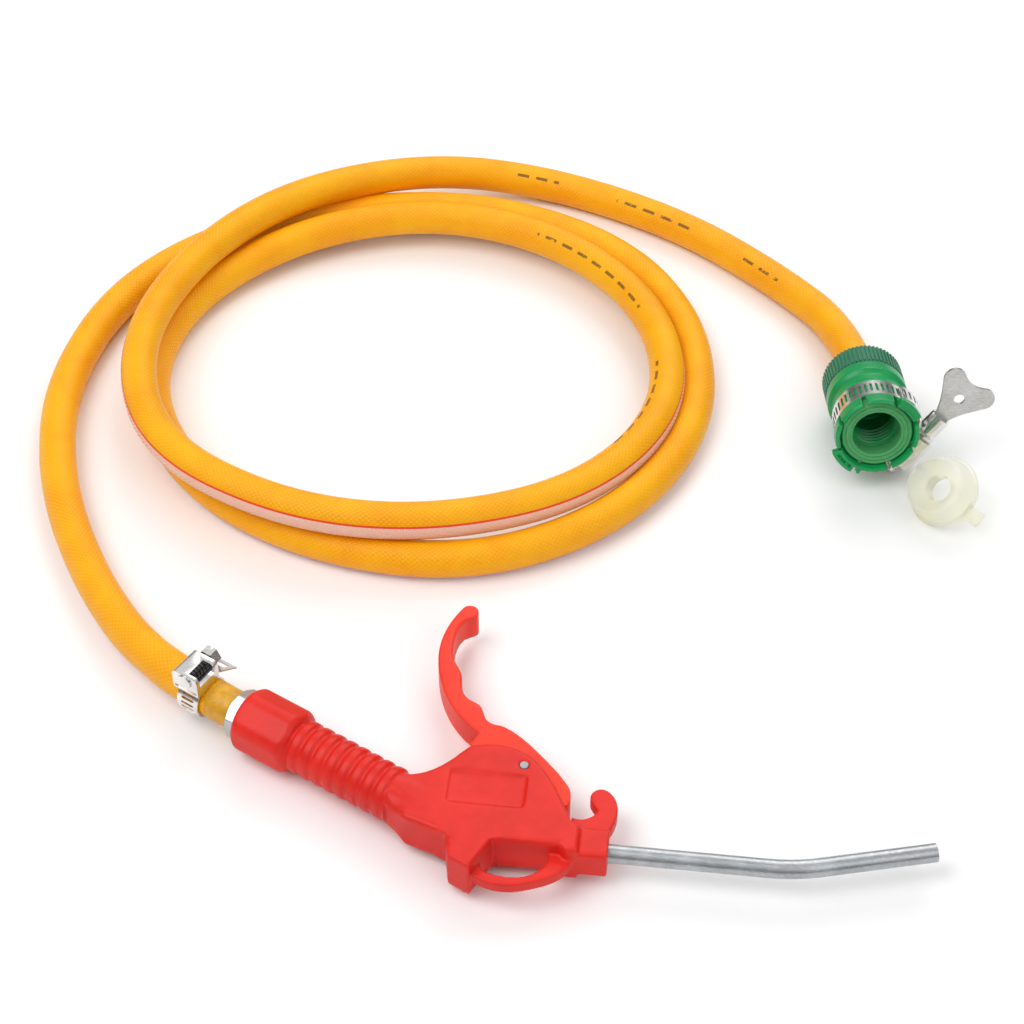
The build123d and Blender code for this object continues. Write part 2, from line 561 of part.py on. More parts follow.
def connector_seal():
    """Rubber ring at the bottom of the mouth, with raised rings that meet the tap."""
    x0, x1 = TAP_L - MOUTH_L, TAP_L - MOUTH_L + SEAL_RING_T
    ring = tube(SEAL_RING_R - 1.05, MOUTH_BORE_R + 0.4, x0, x1)
    for r in (9.6, 11.2):
        ring += tube(r + 0.3, r - 0.3, x1 - 0.1, x1 + 0.4)
    return ring


def jaw_band():
    """Slotted steel band round the jaws, with its end standing off beside the screw."""
    a, b = TAP_BAND_AT - TAP_BAND_W / 2, TAP_BAND_AT + TAP_BAND_W / 2
    band = tube(TAP_BAND_R + TAP_BAND_T, TAP_BAND_R, a, b)
    for i in range(26):
        slot = Location((TAP_BAND_AT, 0, TAP_BAND_R)) * Box(TAP_BAND_W * 0.55, 1.3, 4)
        band -= Rotation(-(60 + i * 9), 0, 0) * slot
    return band


def band_housing():
    """Pressed saddle for the thumb screw."""
    foot = TAP_BAND_R + TAP_BAND_T
    box = Location((0, 0, foot + BAND_HOUSING_H / 2)) * Box(TAP_BAND_W + 1.6, BAND_HOUSING_L,
                                                            BAND_HOUSING_H)
    box = fillet(box.edges().filter_by(Axis.Y), HOUSING_EDGE_R)
    cavity = rod((0, -10, SCREW_HEIGHT), (0, 10, SCREW_HEIGHT), SCREW_R + RUN_GAP)
    return WING * (box - cyl(foot + 0.04, -12, 12) - cavity)


def thumb_screw():
    """Worm screw with a collar and a slotted neck that holds the wing."""
    z = SCREW_HEIGHT
    head = rod((0, KNOB_FROM, z), (0, KNOB_TO, z), KNOB_R)
    head -= Location((0, WING_FROM, z)) * Box(
        WING_T + 0.02, 9.0, 9, align=(Align.CENTER, Align.MIN, Align.CENTER)
    )
    return WING * (worm(SCREW_TIP, KNOB_FROM + 1, z, 9) + head)


def screw_washer():
    z = SCREW_HEIGHT
    washer = rod((0, WASHER_FROM, z), (0, WASHER_TO, z), WASHER_R)
    washer -= rod((0, WASHER_FROM - 1, z), (0, WASHER_TO + 1, z), SCREW_R + RUN_GAP)
    return WING * washer


def thumb_wing():
    """Flat two-lobed key, held in the screw's slot."""
    z = SCREW_HEIGHT
    edges = [
        Line((-2.6, WING_FROM), (2.6, WING_FROM)),
        Spline([(2.6, WING_FROM), (3.0, 17.0), (6.0, 23.0), (10.4, 29.0)]),
        ThreePointArc((10.4, 29.0), (10.2, 34.0), (5.4, 35.2)),
        Spline([(5.4, 35.2), (0, 33.4), (-5.4, 35.2)]),
        ThreePointArc((-5.4, 35.2), (-10.2, 34.0), (-10.4, 29.0)),
        Spline([(-10.4, 29.0), (-6.0, 23.0), (-3.0, 17.0), (-2.6, WING_FROM)]),
    ]
    wing = make_face(edges) - Location((0, 26.0)) * Circle(WING_HOLE_R)
    plate = Plane(origin=(0, 0, z), x_dir=(0, 0, 1), z_dir=(-1, 0, 0)) * wing
    return WING * extrude(plate, WING_T / 2, both=True)


# ---------------------------------------------------------------- loose tap insert
def tap_insert():
    """Soft stepped bush for narrow taps; it lies loose beside the connector."""
    boss = turned([(0, ADAPTER_BORE_R), (0, ADAPTER_FLANGE_R - 0.4), (0.4, ADAPTER_FLANGE_R),
                   (ADAPTER_FLANGE_T, ADAPTER_FLANGE_R), (ADAPTER_FLANGE_T, ADAPTER_BOSS_R + 0.6),
                   (ADAPTER_L - 0.8, ADAPTER_BOSS_R), (ADAPTER_L, ADAPTER_BOSS_R - 0.8),
                   (ADAPTER_L, ADAPTER_BORE_R + 2.6), (ADAPTER_L - 3.0, ADAPTER_BORE_R + 1.6),
                   (ADAPTER_L - 3.0, ADAPTER_BORE_R)])
    tab = Location((ADAPTER_FLANGE_T / 2, ADAPTER_FLANGE_R + ADAPTER_TAB / 2 - 1.0, 0)) * Box(
        ADAPTER_FLANGE_T, ADAPTER_TAB, ADAPTER_TAB_W
    )
    return boss + tab


def insert_place():
    """The insert leans with its flange's edge on the table."""
    piece = Rotation(0, -ADAPTER_LEAN, 0) * tap_insert()
    lift = -piece.bounding_box().min.Z + 0.05
    turn = Location((0, 0, 0), (0, 0, ADAPTER_HEADING))
    return Location((ROOT_X + ADAPTER_AT[0], ROOT_Y + ADAPTER_AT[1], lift)) * turn * piece


# ---------------------------------------------------------------- write the pieces
GUN_PIECES = (
    gun_body, trigger_lever, lever_pin, valve_bush, bush_o_ring, stem_o_ring, valve_stem,
    valve_seal, valve_spring, nozzle_tube, inlet_insert, hose_barb, inlet_o_ring, clamp_band,
    clamp_housing, clamp_screw,
)
TAP_PIECES = (
    connector_body, grip_collet, hose_nut, connector_seal, jaw_band, band_housing, thumb_screw,
    screw_washer, thumb_wing,
)


def write(name, piece):
    export_step(Compound(children=list(piece.solids())), f"parts/{name}.step")


def main():
    os.makedirs("parts", exist_ok=True)
    for make in GUN_PIECES:
        write(make.__name__, GUN * make())
    for make in TAP_PIECES:
        write(make.__name__, TAP * make())
    write("hose", hose())
    write("tap_insert", insert_place())


main()
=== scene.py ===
"""Looks of a trigger filling gun on a coiled hose with a clamp-on tap connector.

Everything is in metres in the CAD frame: +X along the nozzle, +Y towards the coil, +Z up.
"""

import math

import bmesh
import bpy
from mathutils import Matrix, Vector


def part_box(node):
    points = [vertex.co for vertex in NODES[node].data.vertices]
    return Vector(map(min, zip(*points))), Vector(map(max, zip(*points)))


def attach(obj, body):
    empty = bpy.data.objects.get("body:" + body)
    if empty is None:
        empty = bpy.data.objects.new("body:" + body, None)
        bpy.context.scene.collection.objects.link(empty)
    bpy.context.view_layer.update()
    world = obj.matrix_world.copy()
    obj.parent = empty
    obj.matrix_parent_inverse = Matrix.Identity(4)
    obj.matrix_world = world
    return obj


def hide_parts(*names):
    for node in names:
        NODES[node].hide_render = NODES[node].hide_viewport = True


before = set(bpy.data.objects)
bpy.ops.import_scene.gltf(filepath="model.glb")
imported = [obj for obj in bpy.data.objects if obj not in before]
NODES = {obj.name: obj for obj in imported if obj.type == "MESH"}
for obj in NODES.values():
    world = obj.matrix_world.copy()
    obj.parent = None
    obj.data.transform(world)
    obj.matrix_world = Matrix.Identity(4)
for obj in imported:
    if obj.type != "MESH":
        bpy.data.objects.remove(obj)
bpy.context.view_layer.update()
MM = 0.001
scene = bpy.context.scene
collection = scene.collection

# ---------------------------------------------------------------- driving sizes, in millimetres
ROOT = Vector((24.5, -39.0, 11.0))  # the nozzle's root on its axis; gun sizes count from here

# handle, from the collar's back face forwards
HANDLE_BACK = Vector((-121.9, 41.8, 0.0))
HANDLE_ANGLE = -27.0
HANDLE_TURN = math.radians(HANDLE_ANGLE)
ALONG_HANDLE = Vector((math.cos(HANDLE_TURN), math.sin(HANDLE_TURN), 0))
ACROSS_HANDLE = Vector((-math.sin(HANDLE_TURN), math.cos(HANDLE_TURN), 0))
COLLAR_L, NECK_FROM, NECK_TO = 21.0, 58.5, 88.0
GRIP_R, FLARE_FROM, FLARE = 8.5, 55.5, 0.0165
NECK_SWELL, NECK_SWELL_L = 0.8, 12.0
HEX_T = 4.0

# the gun's plates, the valve block below them and the lever's pin
PLATE_HALF, BLOCK_HALF = 7.5, 5.0
BLOCK_X, BLOCK_TOP, BLOCK_EDGE, BLOCK_RISE = (-53.0, -34.0), 0.5, 0.7, 1.6
PIVOT, PIVOT_REACH = (-29.2, 26.1), 2.6

# hose and its clamp
HOSE_R, HOSE_SIDES = 6.75, 32
FLOOR = HOSE_R + 0.05
CLAMP_AT, CLAMP_BAND_W, CLAMP_BAND_R, CLAMP_BAND_T = 19.8, 8.5, 7.15, 0.55
TAIL_OUT, TAIL_LEANS_PAST, TAIL_LEAN = 0.55, 4.5, 0.8
WINDOW_SIZE, WINDOW_AT = (6.4, 7.4, 5.2), (4.0 - CLAMP_AT, -1.8, 13.4)
THREAD_PAINTED_SHADE = (-6.0, 4.3)  # painted shade on the worm's thread inside the saddle's window, from the screw's middle

# connector, from its nut's back face to its mouth
TAP_HEADING, TAP_TILT = -82.7, 11.6
NUT_R, TAP_L, MOUTH_L = 15.0, 44.0, 9.0
TAP_BACK = Vector((76.1, 230.8, NUT_R * math.cos(math.radians(TAP_TILT)) + 0.06))
HOSE_IN_NUT = 11.0
BAND_AT, BAND_W, BAND_R, BAND_T = 32.5, 9.4, 13.82, 0.8
FREE_END, FREE_END_RISE = (38, 102), (1.25, 1.7)
MOUTH_BORE_R, SEAL_RING_R = 8.4, 14.0
HOOK_L, HOOK_BACK = 2.9, 0.5
THREAD_FROM, THREAD_PITCH, THREAD_TURNS, THREAD_DEPTH = 25.0, 2.0, 5, 0.6
GROOVE_RADII, GROOVE_DEPTH = (11.6, 10.0), 0.35

# the loose insert's middle on the table, its lean and its heading
INSERT_AT, INSERT_LEAN, INSERT_HEADING = (107.4, 177.8), 47.0, 221.5

# ---------------------------------------------------------------- marks on the hose, in metres
STRIPE_LOW, STRIPE_HIGH, STRIPE_WIDTH = 0.338, 0.188, 0.165  # turns round from the top, outwards
STRIPE_CLIMBS = (0.95, 1.18)  # the stretch in which the stripe turns up
DASH_TURN, DASH_STEP = -0.11, 0.0085
DASHED = [(1.085, 1.150), (1.185, 1.240), (1.690, 1.712), (1.740, 1.775), (1.800, 1.822)]
BRAID_PITCH, BRAID_THREADS = 0.0020, 25.0
BULGE_AT, BULGE_HALF, BULGE_RISE = 0.0365, 0.011, 0.055
HOSE_END_L = 0.0185
HOSE_MAP = "along_and_round"


def place(point):
    """A point given from the nozzle's root, with its height above the table, in the frame."""
    return Vector((point[0] + ROOT.x, point[1] + ROOT.y, point[2])) * MM


def along_handle(back):
    """A point on the handle's axis, so far behind the collar's back face."""
    step = ALONG_HANDLE * back
    return (HANDLE_BACK.x - step.x, HANDLE_BACK.y - step.y, ROOT.z)


def tap_axis():
    """The connector's axis, from the back of its nut to its mouth."""
    turn, tilt = math.radians(TAP_HEADING), math.radians(TAP_TILT)
    return Vector((math.cos(turn) * math.cos(tilt), math.sin(turn) * math.cos(tilt), math.sin(tilt)))


def along_tap(inside):
    """A point on the connector's axis, so far inside the nut's back face."""
    return tuple(TAP_BACK + tap_axis() * inside)


def handle_matrix():
    """From the handle's frame in millimetres, X along it from the collar's back, to the part's."""
    origin = place((HANDLE_BACK.x, HANDLE_BACK.y, ROOT.z))
    heading = Matrix.Rotation(HANDLE_TURN, 4, "Z")
    return Matrix.Translation(origin) @ heading @ Matrix.Scale(MM, 4)


def tap_matrix():
    """From the connector's frame in millimetres, X from its nut's back to its mouth, to the part's."""
    heading = Matrix.Rotation(math.radians(TAP_HEADING), 4, "Z")
    tilt = Matrix.Rotation(math.radians(-TAP_TILT), 4, "Y")
    return Matrix.Translation(place(TAP_BACK)) @ heading @ tilt @ Matrix.Scale(MM, 4)


# ---------------------------------------------------------------- shader maths
class Term:
    """A shader value. Arithmetic on it adds the Math nodes."""

    def __init__(self, finish, socket):
        self.finish = finish
        self.socket = socket

    def math(self, operation, *others, swap=False, clamp=False):
        """One Math node on this value and the others, which swap turns round."""
        values = [self, *others]
        if swap:
            values.reverse()
        settings = {"operation": operation, "use_clamp": clamp}
        return self.finish.node("ShaderNodeMath", settings, dict(enumerate(values)))

    def __add__(self, other):
        return self.math("ADD", other)

    __radd__ = __add__

    def __sub__(self, other):
        return self.math("SUBTRACT", other)

    def __rsub__(self, other):
        return self.math("SUBTRACT", other, swap=True)

    def __mul__(self, other):
        return self.math("MULTIPLY", other)

    __rmul__ = __mul__

    def __truediv__(self, other):
        return self.math("DIVIDE", other)

    def sine(self):
        return self.math("SINE")

    def size(self):
        return self.math("ABSOLUTE")

    def fraction(self):
        return self.math("FRACT")

    def clamped(self):
        return self.math("ADD", 0.0, clamp=True)

    def ramp(self, low, high, to_low=0.0, to_high=1.0):
        """A smooth step from to_low at low to to_high at high."""
        inputs = {"Value": self, "From Min": low, "From Max": high, "To Min": to_low, "To Max": to_high}
        return self.finish.node("ShaderNodeMapRange", {"interpolation_type": "SMOOTHSTEP"}, inputs)


class Finish:
    """One material and the nodes that make it."""

    def __init__(self, name):
        self.material = bpy.data.materials.new(name)
        self.material.use_nodes = True
        self.tree = self.material.node_tree
        self.tree.nodes.clear()

    def node(self, kind, settings=None, inputs=None, output=0):
        """Adds a node: its settings first, then the values or links of its sockets."""
        made = self.tree.nodes.new(kind)
        for key, value in (settings or {}).items():
            setattr(made, key, value)
        for key, value in (inputs or {}).items():
            self.feed(made.inputs[key], value)
        return Term(self, made.outputs[output]) if made.outputs else made

    def feed(self, socket, value):
        """Links a shader value to a socket, or sets the socket to a plain one."""
        if isinstance(value, Term):
            self.tree.links.new(value.socket, socket)
        elif socket.type == "RGBA":
            socket.default_value = (*value[:3], 1.0)
        else:
            socket.default_value = value

    def point(self, turn=(0, 0, 0), stretch=(1, 1, 1)):
        """The object's own coordinates in metres, turned and stretched."""
        raw = self.node("ShaderNodeTexCoord", output="Object")
        return self.node("ShaderNodeMapping", {}, {"Vector": raw, "Rotation": turn, "Scale": stretch})

    def parts_of(self, vector):
        """A vector's X, Y and Z."""
        split = self.node("ShaderNodeSeparateXYZ", {}, {0: vector})
        outputs = split.socket.node.outputs
        return [Term(self, outputs[i]) for i in range(3)]

    def noise(self, vector, scale, detail=2.0, rough=0.5, warp=0.0):
        """Clouds, finer as scale grows."""
        inputs = {
            "Vector": vector, "Scale": scale, "Detail": detail, "Roughness": rough, "Distortion": warp,
        }
        return self.node("ShaderNodeTexNoise", {}, inputs)

    def cells(self, vector, scale):
        """Distance from the middle of each random cell."""
        return self.node("ShaderNodeTexVoronoi", {"feature": "F1"}, {"Vector": vector, "Scale": scale})

    def mix(self, share, first, second):
        """Colour first where share is 0, second where it is 1."""
        settings = {"data_type": "RGBA", "clamp_factor": True}
        return self.node("ShaderNodeMix", settings, {0: share, 6: first, 7: second}, output=2)

    def bump(self, height, depth, strength=1.0, under=None):
        """A relief of that depth in metres, over the one under it."""
        inputs = {"Height": height, "Distance": depth, "Strength": strength}
        if under is not None:
            inputs["Normal"] = under
        return self.node("ShaderNodeBump", {}, inputs)

    def shade(self, inputs):
        """Ends the material in one Principled shader."""
        shader = self.node("ShaderNodeBsdfPrincipled", {}, inputs)
        self.node("ShaderNodeOutputMaterial", {}, {"Surface": shader})
        return self.material


def give(piece, material):
    """Puts the one material on a piece or CAD node."""
    piece.data.materials.clear()
    piece.data.materials.append(material)


# ---------------------------------------------------------------- materials
def moulded_plastic(name, colour, deep, rough, glow=0.0):
    """Injection-moulded plastic: a fine grain, faint flow marks, rubs and small scuffs."""
    f = Finish(name)
    point = f.point()
    cloud = f.noise(point, 55, 3, 0.55)
    swirl = f.noise(point, 210, 3, 0.6, 1.2)
    grain = f.noise(point, 2600, 2, 0.5)
    scuff = f.noise(f.point(stretch=(1, 5, 2)), 420, 4, 0.72).ramp(0.66, 0.78)
    tone = (cloud.ramp(0.3, 0.72) * 0.75 + swirl.ramp(0.35, 0.7) * 0.25).clamped()
    base = f.mix(tone, deep, colour)
    worn = [min(1.0, c * 0.85 + 0.10) for c in colour]
    base = f.mix(scuff * 0.22, base, worn)
    uneven = rough + (grain - 0.5) * 0.12 + scuff * 0.16 + (cloud - 0.5) * 0.10
    skin = f.bump(grain * 0.6 + swirl * 0.4, 0.00006, 0.5)
    skin = f.bump(scuff, 0.00004, 0.5, skin)
    return f.shade({
        "Base Color": base, "Roughness": uneven, "Normal": skin, "Subsurface Weight": glow,
        "Subsurface Radius": (1.0, 0.25, 0.12), "Subsurface Scale": 0.0015, "IOR": 1.5,
        "Specular IOR Level": 0.36,
    })


def braid(along, turn):
    """The crossed threads' relief: 1 in the middle of each diamond, 0 along its sides."""
    left = ((along / BRAID_PITCH + turn * BRAID_THREADS) * math.pi).sine().size()
    right = ((along / BRAID_PITCH - turn * BRAID_THREADS) * math.pi).sine().size()
    return left * right


def striped(f, base, along, turn, grain):
    """The pale stripe with its red upper line and dull lower line, and where it lies."""
    line = along.ramp(STRIPE_CLIMBS[0], STRIPE_CLIMBS[1], STRIPE_LOW, STRIPE_HIGH)
    below = turn - line
    band = below.ramp(0.0, 0.004) * below.ramp(STRIPE_WIDTH - 0.012, STRIPE_WIDTH, 1.0, 0.0)
    base = f.mix(band * (0.98 - grain * 0.10), base, (0.93, 0.60, 0.50))
    edge = below.size().ramp(0.008, 0.013, 1.0, 0.0)
    base = f.mix(edge * 0.92, base, (0.85, 0.035, 0.015))
    low_edge = (below - STRIPE_WIDTH).size().ramp(0.003, 0.008, 1.0, 0.0)
    return f.mix(low_edge * 0.55, base, (0.32, 0.12, 0.05)), band


def dashed(f, base, along, turn):
    """Plain worn length marks in a row on the hose's inner side."""
    dash = ((along / DASH_STEP).fraction() - 0.5).size().ramp(0.30, 0.33, 1.0, 0.0)
    row = (turn - DASH_TURN).size().ramp(0.013, 0.017, 1.0, 0.0)
    shown = 0.0
    for start, end in DASHED:
        shown = along.ramp(start, start + 0.001) * along.ramp(end, end + 0.001, 1.0, 0.0) + shown
    worn = f.noise(f.point(), 420, 2, 0.6).ramp(0.30, 0.45)
    return f.mix(dash * row * shown * worn * 0.75, base, (0.05, 0.028, 0.012))


def hose_pvc():
    """Amber PVC over a fine crossed braid, with a pale stripe and a few plain length marks."""
    f = Finish("hose_pvc")
    along, turn, _ = f.parts_of(f.node("ShaderNodeUVMap", {"uv_map": HOSE_MAP}))
    weave = braid(along, turn)
    cloud = f.noise(f.point(), 42, 3, 0.6)
    grain = f.noise(f.point(), 1100, 3, 0.6)
    amber, deep, fibre = (0.97, 0.445, 0.002), (0.92, 0.350, 0.001), (1.0, 0.540, 0.018)
    base = f.mix(cloud.ramp(0.3, 0.7), deep, amber)
    base = f.mix(weave.ramp(0.25, 0.85) * 0.45, base, fibre)
    base, band = striped(f, base, along, turn, grain)
    base = dashed(f, base, along, turn)
    rough = 0.34 + (cloud - 0.5) * 0.16 + weave * 0.08 - band * 0.10
    skin = f.bump(weave, 0.00022, 0.6)
    skin = f.bump(grain, 0.00004, 0.4, skin)
    return f.shade({
        "Base Color": base, "Roughness": rough, "Normal": skin, "Subsurface Weight": 0.08,
        "Subsurface Radius": (1.0, 0.6, 0.1), "Subsurface Scale": 0.0015, "IOR": 1.45,
        "Specular IOR Level": 0.26,
    })


def hose_end_pvc():
    """The darker mustard end of the hose between the clamp and the fitting, faintly ringed."""
    f = Finish("hose_end_pvc")
    along, _, _ = f.parts_of(f.node("ShaderNodeUVMap", {"uv_map": HOSE_MAP}))
    ring = (along * 1900 + f.noise(f.point(), 120) * 5.0).sine()
    stain = f.noise(f.point(), 160, 4, 0.65, 0.8).ramp(0.35, 0.7)
    base = f.mix(stain, (0.60, 0.29, 0.008), (0.80, 0.40, 0.012))
    rough = 0.34 + stain * 0.14
    return f.shade({
        "Base Color": base, "Roughness": rough, "Normal": f.bump(ring, 0.00004, 0.4),
        "Subsurface Weight": 0.15, "Subsurface Scale": 0.002,
    })


def drawn_steel(name, colour, rough, stretch, turn=(0, 0, 0), zinc=0.0):
    """Drawn or brushed steel: fine streaks one way, faint stains, and spangle where it is zinced."""
    f = Finish(name)
    streak = f.noise(f.point(turn, stretch), 330, 4, 0.62)
    fine = f.noise(f.point(turn, stretch), 1300, 2, 0.5)
    stain = f.noise(f.point(), 90, 4, 0.6)
    spangle = f.cells(f.point(), 700).ramp(0.1, 0.6) * zinc
    tone = (streak.ramp(0.3, 0.7) * 0.6 + stain.ramp(0.35, 0.65) * 0.4 - spangle * 0.3).clamped()
    base = f.mix(tone, [c * 0.62 for c in colour], colour)
    roughness = rough + (streak - 0.5) * 0.25 + (stain - 0.5) * 0.2 + spangle * 0.1
    return f.shade({
        "Base Color": base, "Metallic": 1.0, "Roughness": roughness,
        "Normal": f.bump(streak * 0.5 + fine * 0.5, 0.00003, 0.35),
    })


def bright_steel(name, colour, rough, thread_painted_shade=None):
    """Bright stamped stainless: smooth, with a slight ripple and hairline scratches.

    The worm's thread is painted near black between two places across the handle, in metres, as painted
    shade inside the saddle's window.
    """
    f = Finish(name)
    point = f.point()
    ripple = f.noise(point, 110, 2, 0.5)
    hair = f.noise(f.point((0.4, 0.2, 0.8), (1, 30, 6)), 380, 3, 0.6).ramp(0.55, 0.75)
    stain = f.noise(point, 60, 3, 0.6)
    base = f.mix(stain.ramp(0.3, 0.75), [c * 0.80 for c in colour], colour)
    if thread_painted_shade:
        x, y, _ = f.parts_of(point)
        across = x * ACROSS_HANDLE.x + y * ACROSS_HANDLE.y
        start, end = thread_painted_shade
        thread = across.ramp(start, start + 0.0002) * across.ramp(end, end + 0.0002, 1.0, 0.0)
        # painted shade: the thread inside the saddle's window is painted near black
        base = f.mix(thread, base, (0.10, 0.10, 0.105))
    roughness = rough + hair * 0.16 + (stain - 0.5) * 0.12
    return f.shade({
        "Base Color": base, "Metallic": 1.0, "Roughness": roughness,
        "Normal": f.bump(ripple * 0.8 + hair * 0.2, 0.00005, 0.3),
    })


def machined_brass():
    """Turned brass with fine tool rings and a little tarnish."""
    f = Finish("machined_brass")
    ring = f.noise(f.point(stretch=(40, 1, 1)), 300, 2)
    tarnish = f.noise(f.point(), 180, 4, 0.6).ramp(0.4, 0.75)
    base = f.mix(tarnish, (0.83, 0.60, 0.25), (0.48, 0.32, 0.13))
    return f.shade({
        "Base Color": base, "Metallic": 1.0, "Roughness": 0.24 + tarnish * 0.22,
        "Normal": f.bump(ring, 0.00003, 0.3),
    })


def moulded_rubber():
    """Black rubber with a dusty, slightly uneven skin."""
    f = Finish("moulded_rubber")
    dust = f.noise(f.point(), 420, 4, 0.65)
    base = f.mix(dust.ramp(0.4, 0.8), (0.012, 0.012, 0.013), (0.06, 0.058, 0.055))
    return f.shade({
        "Base Color": base, "Roughness": 0.62 + dust * 0.2, "Normal": f.bump(dust, 0.00006, 0.5),
    })


def soft_silicone():
    """Milky yellow silicone that lets light through."""
    f = Finish("soft_silicone")
    cloud = f.noise(f.point(), 130, 3, 0.6)
    speck = f.noise(f.point(), 1600, 2, 0.5)
    base = f.mix(cloud.ramp(0.3, 0.7), (0.98, 0.96, 0.76), (0.99, 0.985, 0.90))
    return f.shade({
        "Base Color": base, "Roughness": 0.26 + speck * 0.10, "Normal": f.bump(cloud, 0.00008, 0.3),
        "Transmission Weight": 0.80, "Subsurface Weight": 0.6, "Subsurface Radius": (1.0, 0.95, 0.7),
        "Subsurface Scale": 0.010, "IOR": 1.18,
    })


def studio_floor():
    """A plain pale matt floor."""
    f = Finish("studio_floor")
    tone = f.noise(f.point(), 3, 2).ramp(0.3, 0.7)
    base = f.mix(tone, (0.93, 0.93, 0.93), (0.95, 0.95, 0.95))
    return f.shade({"Base Color": base, "Roughness": 0.85, "Specular IOR Level": 0.1})


# ---------------------------------------------------------------- mesh helpers
def shade_smooth(mesh):
    for face in mesh.polygons:
        face.use_smooth = True


def mesh_object(name, mesh):
    """A smooth-shaded object in the scene for a mesh that is in the part's frame."""
    made = bpy.data.objects.new(name, mesh)
    collection.objects.link(made)
    shade_smooth(mesh)
    return made


def evaluated_mesh(thing):
    """A new mesh of a piece or curve as its modifiers and settings make it."""
    graph = bpy.context.evaluated_depsgraph_get()
    graph.update()
    return bpy.data.meshes.new_from_object(thing.evaluated_get(graph))


def finish_bmesh(name, bm, matrix=None):
    """Moves a bmesh by matrix, turns its normals outwards and makes it an object."""
    if matrix is not None:
        bmesh.ops.transform(bm, matrix=matrix, verts=bm.verts)
    bmesh.ops.remove_doubles(bm, verts=bm.verts, dist=1e-7)
    bmesh.ops.recalc_face_normals(bm, faces=bm.faces)
    mesh = bpy.data.meshes.new(name)
    bm.to_mesh(mesh)
    bm.free()
    return mesh_object(name, mesh)


def baked(piece):
    """The piece with its modifiers applied to its mesh."""
    mesh = evaluated_mesh(piece)
    piece.modifiers.clear()
    piece.data = mesh
    shade_smooth(mesh)
    return piece


def cad_bmesh(node):
    """A merged copy of a CAD node's mesh."""
    bm = bmesh.new()
    bm.from_mesh(NODES[node].data)
    bmesh.ops.remove_doubles(bm, verts=bm.verts, dist=2e-6)
    return bm


def softened(name, bm, voxel, passes, keep=1.0):
    """Joins what is in the bmesh into one skin and rounds its edges as a mould does.

    voxel is the skin's mesh size in millimetres, and keep is the share of its faces that stays.
    """
    piece = finish_bmesh(name, bm)
    remesh = piece.modifiers.new("one_skin", "REMESH")
    remesh.mode = "VOXEL"
    remesh.voxel_size = voxel * MM
    remesh.use_smooth_shade = True
    smooth = piece.modifiers.new("mould_radius", "SMOOTH")
    smooth.factor = 0.5
    smooth.iterations = passes
    if keep < 1.0:
        thin = piece.modifiers.new("fewer_faces", "DECIMATE")
        thin.ratio = keep
    return baked(piece)


def outline(bm, points):
    """A closed loop of (x, radius) points above the X axis, with its edges."""
    verts = [bm.verts.new((x, 0, radius)) for x, radius in points]
    edges = [bm.edges.new(pair) for pair in zip(verts, verts[1:] + verts[:1])]
    return verts + edges


def turned_ring(bm, points, steps=96):
    """Turns a closed outline all the way round the X axis."""
    bmesh.ops.spin(
        bm, geom=outline(bm, points), cent=(0, 0, 0), axis=(1, 0, 0), angle=math.tau, steps=steps,
        use_merge=True,
    )


def turned_bar(bm, points, start, sweep, steps=12):
    """Turns a closed outline through part of a circle, in degrees from the top towards -Y."""
    rim = outline(bm, points)
    verts = rim[:len(points)]
    face = bm.faces.new(verts)
    bmesh.ops.transform(bm, matrix=Matrix.Rotation(math.radians(start), 4, "X"), verts=verts)
    bmesh.ops.spin(
        bm, geom=[face, *rim], cent=(0, 0, 0), axis=(1, 0, 0), angle=math.radians(sweep), steps=steps,
    )


def evened(bm, verts, passes):
    """Smooths part of a skin."""
    for _ in range(passes):
        bmesh.ops.smooth_vert(
            bm, verts=verts, factor=0.5, use_axis_x=True, use_axis_y=True, use_axis_z=True,
        )


def crisp(piece):
    """Keeps the piece's corners sharp while its curved faces stay smooth."""
    piece.data.set_sharp_from_angle(angle=math.radians(32))
    return piece


def rounded(piece, radius, segments):
    """Rounds the piece's sharp edges, to a radius in millimetres."""
    bevel = piece.modifiers.new("edge_round", "BEVEL")
    bevel.width = radius * MM
    bevel.segments = segments
    bevel.limit_method = "ANGLE"
    bevel.angle_limit = math.radians(40)
    return crisp(baked(piece))


def stand_for(piece, body, slot, *nodes):
    """The piece rides on a body and stands for CAD nodes, which are hidden; slot is not used."""
    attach(piece, body)
    if nodes:
        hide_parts(*nodes)


# ---------------------------------------------------------------- camera
CAMERA_AT = Vector((45.1, -476.9, 587.85)) * MM
CAMERA_AZIMUTH, CAMERA_ELEVATION = 6.6, 44.4
CAMERA_LENS = 81.0


def make_camera():
    """A long lens that looks down on the part from its gun's side."""
    data = bpy.data.cameras.new("camera")
    data.lens = CAMERA_LENS
    data.sensor_width = 36.0
    data.clip_start = 0.02
    data.clip_end = 20.0
    camera = bpy.data.objects.new("camera", data)
    camera.location = CAMERA_AT
    camera.rotation_euler = (math.radians(90 - CAMERA_ELEVATION), 0, math.radians(CAMERA_AZIMUTH))
    collection.objects.link(camera)
    scene.camera = camera


